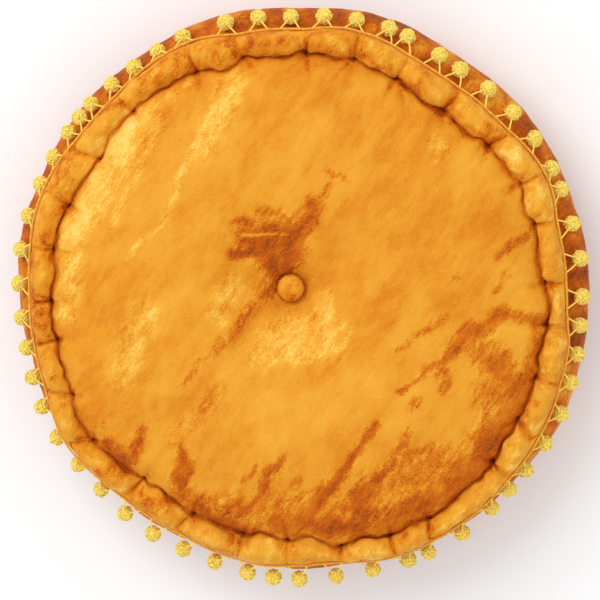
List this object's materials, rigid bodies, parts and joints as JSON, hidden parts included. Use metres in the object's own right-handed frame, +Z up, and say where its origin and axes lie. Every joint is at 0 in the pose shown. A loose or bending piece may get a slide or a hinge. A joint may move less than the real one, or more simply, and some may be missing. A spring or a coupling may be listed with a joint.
{
  "type": "floor pouf",
  "caption": "Low round stuffed floor pouf with a pinched, rolled rim, a covered button in the middle of the crown and a pompom trim round the edge.",
  "frame": {"origin": "middle of the underside that the pouf rests on", "axes": "+Z up out of the buttoned crown, +X to the right and +Y to the top of the picture"},
  "size_m": [0.4673, 0.4669, 0.107],
  "materials": {
    "velvet": "crushed velvet pile",
    "yarn": "matt wool yarn"
  },
  "bodies": {
    "root": {"cushion": "velvet", "button": "velvet", "pompom_trim": "yarn"}
  },
  "joints": []
}
